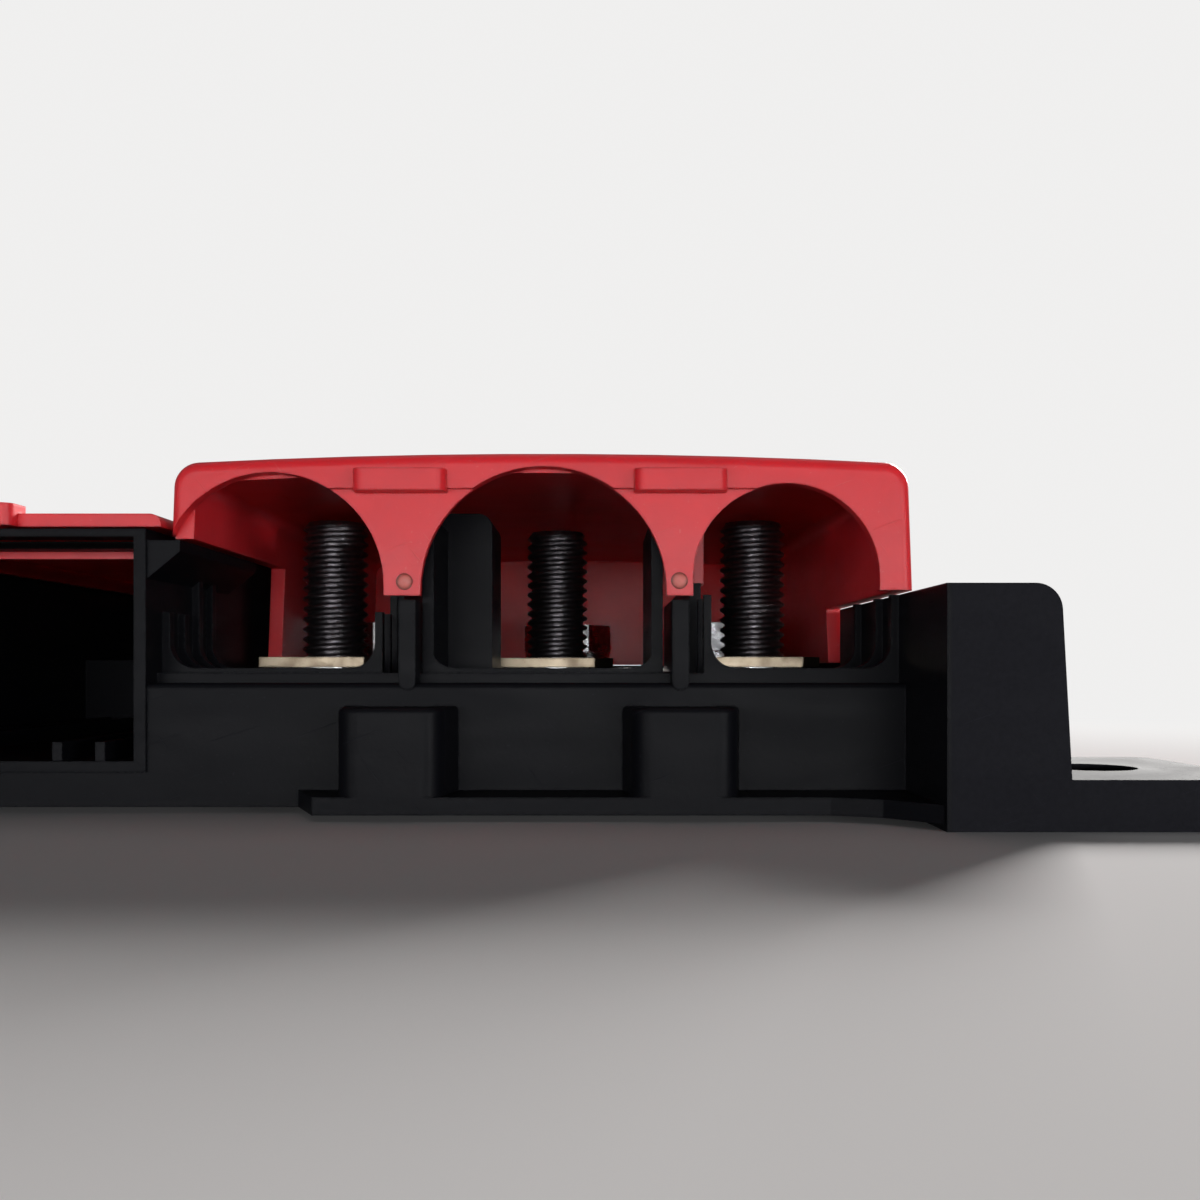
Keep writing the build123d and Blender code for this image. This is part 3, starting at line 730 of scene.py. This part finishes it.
def surface_mesh(name: str, x: np.ndarray, y: np.ndarray, z: np.ndarray) -> bpy.types.Mesh:
    """Make a closed mesh from rings of points, each ring one row of the arrays.

    The rings are joined to their neighbours by quads, and the first and last ring are closed by a fan to
    their middle point.

    Args:
        name: the mesh's name.
        x: X of each point, one row for each ring, from the bottom ring up.
        y: Y of each point.
        z: Z of each point.

    Returns:
        The mesh.
    """
    rings, around = x.shape
    points = np.stack([x.ravel(), y.ravel(), z.ravel()], axis=1)
    ends = np.stack([points[:around].mean(axis=0), points[-around:].mean(axis=0)])
    here = np.arange(around)
    following = (here + 1) % around
    start = np.arange(rings - 1)[:, None] * around
    quads = np.stack(
        [start + here, start + following, start + around + following, start + around + here], axis=-1
    ).reshape(-1, 4)
    last = (rings - 1) * around
    bottom_middle, top_middle = rings * around, rings * around + 1
    bottom = np.stack([following, here, np.full(around, bottom_middle)], axis=1)
    top = np.stack([last + here, last + following, np.full(around, top_middle)], axis=1)
    mesh = bpy.data.meshes.new(name)
    mesh.from_pydata(np.vstack([points, ends]).tolist(), [], quads.tolist() + bottom.tolist() + top.tolist())
    mesh.validate()
    return mesh


def smooth_by_angle(mesh: bpy.types.Mesh, degrees: float) -> None:
    """Shade a mesh smooth, but keep the edges sharper than an angle.

    Args:
        mesh: the mesh.
        degrees: the angle between two faces from which their edge stays sharp.
    """
    mesh.polygons.foreach_set("use_smooth", np.ones(len(mesh.polygons), bool))
    mesh.set_sharp_from_angle(angle=math.radians(degrees))


class Piece:
    """A piece that this script adds to the frame."""

    def __init__(self, name: str, mesh: bpy.types.Mesh, material: bpy.types.Material) -> None:
        """Make the object, at the origin with its place in its mesh.

        Args:
            name: the object's name.
            mesh: its mesh, in the frame's metres.
            material: its finish.
        """
        mesh.materials.append(material)
        self.object = bpy.data.objects.new(name, mesh)
        bpy.context.scene.collection.objects.link(self.object)

    def join_frame(self, body: Body, replaced: str | None = None) -> None:
        """Let the piece ride on a body, and hide the CAD node that it stands for, if any.

        Args:
            body: the body.
            replaced: the CAD node that it stands for, if any.
        """
        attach(self.object, body.value)
        if replaced:
            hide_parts(replaced)
        LOG.info("%s rides on the %s", self.object.name, body.value)


class ThreadedStud:
    """A hexagon-headed stud with a real helical thread, in place of a plain CAD stud."""

    def __init__(self, node: str, stud: StudSizes, thread: ThreadSizes) -> None:
        """Read the stud's place from the frame.

        Args:
            node: the CAD node.
            stud: the stud's plain sizes.
            thread: the thread.
        """
        self.node = node
        self.low, self.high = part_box(node)
        self.stud = stud
        self.thread = thread
        self.shank = self.high.z - self.low.z - stud.head_height

    def radius(self, turn: np.ndarray, height: np.ndarray) -> np.ndarray:
        """Radius of the threaded shank.

        A point's phase is its height in pitches less its turn, so it repeats once a pitch along a helix. The
        groove is a trapezoid of the phase: none on the crest, full on the root and straight between. It
        fades out over the run-out, and the tip is cut by a cone.

        Args:
            turn: angle around the axis, in radians.
            height: height above the head.

        Returns:
            The radius at each point.
        """
        thread = self.thread
        outer = self.stud.shank_radius
        phase = np.mod(height / thread.pitch - turn / math.tau, 1.0)
        from_crest = np.abs(2.0 * phase - 1.0)
        groove = np.clip((from_crest - thread.crest) / (1.0 - thread.crest - thread.root), 0.0, 1.0)
        fade = np.clip(height / thread.run_out, 0.0, 1.0)
        threaded = outer - thread.depth * groove * fade
        below_tip = self.shank - height
        cone = outer - thread.depth * np.clip(1.0 - below_tip / thread.lead_in, 0.0, 1.0) * thread.tip_cut
        return np.minimum(threaded, cone)

    def mesh(self) -> bpy.types.Mesh:
        """Build the stud: two rings for the head, then the shank's rings.

        The head's radius is half the width across the flats over the cosine of the angle from the nearest
        flat's middle, which makes each ring a hexagon.
        """
        thread = self.thread
        middle = (self.low + self.high) / 2.0
        rings = int(round(self.shank / thread.pitch * thread.steps_per_pitch))
        turn, height = np.meshgrid(
            np.linspace(0.0, math.tau, thread.points_around, endpoint=False),
            np.linspace(0.0, self.shank, rings),
        )
        radius = self.radius(turn, height)
        from_flat = np.mod(turn[:2] + math.pi / 6.0, math.pi / 3.0) - math.pi / 6.0
        head_radius = self.stud.head_flats / 2.0 / np.cos(from_flat)
        head_height = np.array([[-self.stud.head_height], [0.0]]) * np.ones_like(head_radius)
        radius = np.vstack([head_radius, radius])
        turn = np.vstack([turn[:2], turn])
        height = np.vstack([head_height, height])
        z = self.low.z + self.stud.head_height + height
        built = surface_mesh(
            f"thread_{self.node}", middle.x + radius * np.cos(turn), middle.y + radius * np.sin(turn), z
        )
        smooth_by_angle(built, thread.sharp_from)
        return built


@dataclass(frozen=True)
class GateMark:
    """The round gate mark that a moulding keeps near the tip of a tongue, on its outer face.

    Attributes:
        name: the piece's name.
        middle: middle of its foot.
        radius: radius at its foot.
        height: how far it stands out.
        drawn_in: share of the radius that is gone at the last ring.
        arch: angle in radians whose sine gives the last ring's height.
        rings: rings from foot to middle.
        points_around: points in one ring.
        sharp_from: angle in degrees from which an edge stays sharp.
    """

    name: str
    middle: tuple[float, float, float]
    radius: float = 0.85 * MM
    height: float = 0.22 * MM
    drawn_in: float = 0.98
    arch: float = 2.2
    rings: int = 8
    points_around: int = 40
    sharp_from: float = 60.0

    def mesh(self) -> bpy.types.Mesh:
        """Build a low round pip that faces the front, with a dimple in its middle.

        With s the share of the way from the foot to the middle, its height is the sine of s times the arch,
        times the full height, so it rises quickly, stays round on top and dips a little in the middle.
        """
        share = np.linspace(0.0, 1.0, self.rings)[:, None]
        turn = np.linspace(0.0, math.tau, self.points_around, endpoint=False)[None, :]
        radius = self.radius * (1.0 - self.drawn_in * share)
        out = self.height * np.sin(self.arch * share) * np.ones_like(turn)
        x, y, z = Vector(self.middle)
        built = surface_mesh(self.name, x + radius * np.cos(turn), y - out, z + radius * np.sin(turn))
        smooth_by_angle(built, self.sharp_from)
        return built


@dataclass(frozen=True)
class RearRidge:
    """A low ridge on the deck that only this scene has. It narrows the gap under the cover's rear wall.

    Attributes:
        name: the piece's name.
        middle: its middle.
        length: its length from side to side.
        half_depth: half its depth from front to back.
        half_height: half its height.
        end_taper: share by which the first and last ring are drawn in.
        taper_power: how suddenly they are: a high power leaves all but the ends straight.
        stations: rings along it.
        points_around: points in one ring.
        sharp_from: angle in degrees from which an edge stays sharp.
    """

    name: str = "rear_ridge"
    middle: tuple[float, float, float] = (17.4 * MM, 50.1 * MM, 14.50 * MM)
    length: float = 75.0 * MM
    half_depth: float = 0.85 * MM
    half_height: float = 0.62 * MM
    end_taper: float = 0.25
    taper_power: int = 40
    stations: int = 24
    points_around: int = 32
    sharp_from: float = 50.0

    def mesh(self) -> bpy.types.Mesh:
        """Build the ridge from rounded rings along X.

        Round a ring, depth and height follow the square roots of the cosine and the sine, with their signs,
        so the section is a box with well rounded corners.
        """
        share = np.linspace(-1.0, 1.0, self.stations)[:, None]
        turn = np.linspace(0.0, math.tau, self.points_around, endpoint=False)[None, :]
        taper = 1.0 - self.end_taper * np.abs(share) ** self.taper_power
        depth = np.sign(np.cos(turn)) * np.sqrt(np.abs(np.cos(turn))) * self.half_depth * taper
        height = np.sign(np.sin(turn)) * np.sqrt(np.abs(np.sin(turn))) * self.half_height * taper
        middle = Vector(self.middle)
        x = middle.x + share * self.length / 2.0 * np.ones_like(turn)
        built = surface_mesh(self.name, x, middle.y + depth, middle.z + height)
        smooth_by_angle(built, self.sharp_from)
        return built


GATE_MARKS = (
    GateMark("gate_mark_left", (5.1 * MM, -51.2 * MM, 23.2 * MM)),
    GateMark("gate_mark_right", (32.8 * MM, -51.2 * MM, 23.3 * MM)),
)


@dataclass(frozen=True)
class SoftLight:
    """A soft light that points at the object.

    Attributes:
        name: the light's name.
        place: where it stands.
        width: its width.
        height: its height.
        power: power in watts.
        colour: linear colour.
    """

    name: str
    place: tuple[float, float, float]
    width: float
    height: float
    power: float
    colour: tuple[float, float, float] = (1.0, 1.0, 1.0)


@dataclass(frozen=True)
class StudioSizes:
    """The studio around the object.

    Attributes:
        backdrop: linear colour of the pale backdrop, also seen on the far floor.
        floor: linear colour of the near floor.
        floor_reach: half the floor's side.
        fade_middle: point of the floor round which it is lit as itself.
        fade_from: distance from the middle at which the floor starts to melt into the backdrop.
        fade_to: distance at which it has melted.
        ambient: strength of the even light from all round.
        mirrored: strength of the backdrop where a glossy surface mirrors it.
        aim: point that every light points at.
        lights: the soft lights.
    """

    backdrop: tuple[float, float, float] = (0.870, 0.865, 0.860)
    floor: tuple[float, float, float] = (0.780, 0.765, 0.765)
    floor_reach: float = 3.0
    fade_middle: tuple[float, float, float] = (-0.02, -0.07, 0.0)
    fade_from: float = 0.12
    fade_to: float = 0.32
    ambient: float = 0.012
    mirrored: float = 0.24
    aim: tuple[float, float, float] = (0.01, 0.0, 0.02)
    lights: tuple[SoftLight, ...] = (
        SoftLight("key_light", (0.52, 0.80, 0.44), 0.36, 0.36, 18.0, (1.0, 0.98, 0.96)),
        SoftLight("top_light", (0.05, 0.15, 0.80), 0.50, 0.50, 0.4),
        SoftLight("left_fill", (-0.50, -0.60, 0.035), 0.34, 0.06, 0.9, (0.97, 0.98, 1.0)),
        SoftLight("right_fill", (0.58, -0.58, 0.035), 0.34, 0.06, 1.8, (0.97, 0.98, 1.0)),
        SoftLight("front_fill", (0.02, -0.95, 0.035), 0.90, 0.06, 4.2, (0.97, 0.98, 1.0)),
    )


@dataclass(frozen=True)
class CameraSizes:
    """The camera that took the photograph.

    Attributes:
        place: where it stands, level and looking to the back.
        sensor: width of the sensor in millimetres.
        lens: focal length in millimetres.
        shift_y: how far the horizon is below the picture's middle, as a share of its width.
        near: nearest distance that it sees.
    """

    place: tuple[float, float, float] = (0.0248, -0.1728, 0.0143)
    sensor: float = 36.0
    lens: float = 36.24
    shift_y: float = 70.0 / 1200.0
    near: float = 0.005


def backdrop_strength(tree: bpy.types.NodeTree, sizes: StudioSizes) -> Value:
    """Full strength to the camera and through the skin, less in a gloss and least as light on the object.

    Args:
        tree: the node tree of the floor or the world.
        sizes: the studio.

    Returns:
        The strength.
    """
    rays = ("Is Camera Ray", "Is Transmission Ray", "Is Glossy Ray")
    seen, passed, glossy = (add_node(tree, "ShaderNodeLightPath", output=ray) for ray in rays)
    return seen.most(passed).most(glossy * sizes.mirrored).most(sizes.ambient)


def floor_material(sizes: StudioSizes) -> bpy.types.Material:
    """Pale floor that melts into the backdrop away from the object."""
    shading = Shading("floor")
    places = {0: shading.position, 1: sizes.fade_middle}
    distance = shading.add("ShaderNodeVectorMath", places, "Value", operation="DISTANCE")
    near = shading.add("ShaderNodeBsdfDiffuse", {"Color": sizes.floor})
    strength = backdrop_strength(shading.tree, sizes)
    far = shading.add("ShaderNodeEmission", {"Color": sizes.backdrop, "Strength": strength})
    share = distance.rise(sizes.fade_from, sizes.fade_to)
    end_tree(shading.add("ShaderNodeMixShader", {0: share, 1: near, 2: far}))
    return shading.material


def build_floor(sizes: StudioSizes) -> None:
    """Lay the floor just under the feet and mark it as stage."""
    reach = sizes.floor_reach
    mesh = bpy.data.meshes.new("floor")
    corners = [(-reach, -reach, 0.0), (reach, -reach, 0.0), (reach, reach, 0.0), (-reach, reach, 0.0)]
    mesh.from_pydata(corners, [], [(0, 1, 2, 3)])
    mesh.materials.append(floor_material(sizes))
    floor = bpy.data.objects.new("floor", mesh)
    bpy.context.scene.collection.objects.link(floor)
    floor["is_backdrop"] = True


def build_backdrop(sizes: StudioSizes) -> None:
    """Show the camera a pale backdrop, and light the object with a dimmer even light."""
    world = bpy.data.worlds.new("backdrop")
    bpy.context.scene.world = world
    world.use_nodes = True
    tree = world.node_tree
    tree.nodes.clear()
    inputs = {"Color": sizes.backdrop, "Strength": backdrop_strength(tree, sizes)}
    end_tree(add_node(tree, "ShaderNodeBackground", inputs), "ShaderNodeOutputWorld")


def build_lights(sizes: StudioSizes) -> None:
    """Stand the soft lights around the object."""
    for light in sizes.lights:
        data = bpy.data.lights.new(light.name, "AREA")
        data.shape = "RECTANGLE"
        data.size = light.width
        data.size_y = light.height
        data.energy = light.power
        data.color = light.colour
        lamp = bpy.data.objects.new(light.name, data)
        lamp.location = light.place
        ray = Vector(sizes.aim) - Vector(light.place)
        lamp.rotation_euler = ray.to_track_quat("-Z", "Y").to_euler()
        bpy.context.scene.collection.objects.link(lamp)


def build_camera(sizes: CameraSizes) -> None:
    """Set up the camera and the plain view transform."""
    data = bpy.data.cameras.new("camera")
    data.sensor_width = sizes.sensor
    data.lens = sizes.lens
    data.shift_y = sizes.shift_y
    data.clip_start = sizes.near
    camera = bpy.data.objects.new("camera", data)
    camera.location = sizes.place
    camera.rotation_euler = (math.pi / 2.0, 0.0, 0.0)
    scene = bpy.context.scene
    scene.collection.objects.link(camera)
    scene.camera = camera
    scene.view_settings.view_transform = "Standard"


def node_family(node: str) -> str:
    """Return the family of a node, such as stud for stud_left."""
    return next(family for family in PIECE_SLOTS if node == family or node.startswith(family + "_"))


class FuseBoxScene:
    """The whole scene: frame, finishes, added pieces and studio."""

    def __init__(self) -> None:
        """Load the frame, keep its box and make one material for each slot."""
        self.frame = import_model()
        self.cad_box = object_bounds()
        self.materials: dict[Slot, bpy.types.Material] = {slot: metal(slot) for slot in METALS}
        self.materials[Slot.HOUSING] = plastic("black_plastic", BLACK_PLASTIC, COARSE_FROM)
        self.materials[Slot.COVER] = plastic("red_plastic", RED_PLASTIC)

    def finish_nodes(self) -> None:
        """Give each CAD node its slot's material."""
        for name, node in self.frame["nodes"].items():
            slot = PIECE_SLOTS[node_family(name)]
            node.data.materials.clear()
            node.data.materials.append(self.materials[slot])
            LOG.info("%s has the finish %s", name, slot.value)

    def add_studs(self) -> None:
        """Put a threaded stud in place of each plain one."""
        for name in self.frame["nodes"]:
            if node_family(name) != "stud":
                continue
            stud = ThreadedStud(name, StudSizes(), ThreadSizes())
            piece = Piece(f"threaded_{name}", stud.mesh(), self.materials[Slot.STUD_STEEL])
            piece.join_frame(Body.HOUSING, replaced=name)

    def add_gate_marks(self) -> None:
        """Put a gate mark near the tip of each tongue of the cover."""
        pale = plastic("gate_mark", GATE_PLASTIC)
        for mark in GATE_MARKS:
            Piece(mark.name, mark.mesh(), pale).join_frame(Body.COVER)

    def add_rear_ridge(self) -> None:
        """Put the low ridge on the deck under the cover's rear wall."""
        ridge = RearRidge()
        Piece(ridge.name, ridge.mesh(), self.materials[Slot.HOUSING]).join_frame(Body.HOUSING)

    def build(self) -> None:
        self.finish_nodes()
        self.add_studs()
        self.add_gate_marks()
        self.add_rear_ridge()
        studio = StudioSizes()
        build_floor(studio)
        build_backdrop(studio)
        build_lights(studio)
        build_camera(CameraSizes())


def main() -> None:
    """Build the scene."""
    logging.basicConfig(level=logging.INFO)
    scene = FuseBoxScene()
    scene.build()


if __name__ == "__main__":
    main()
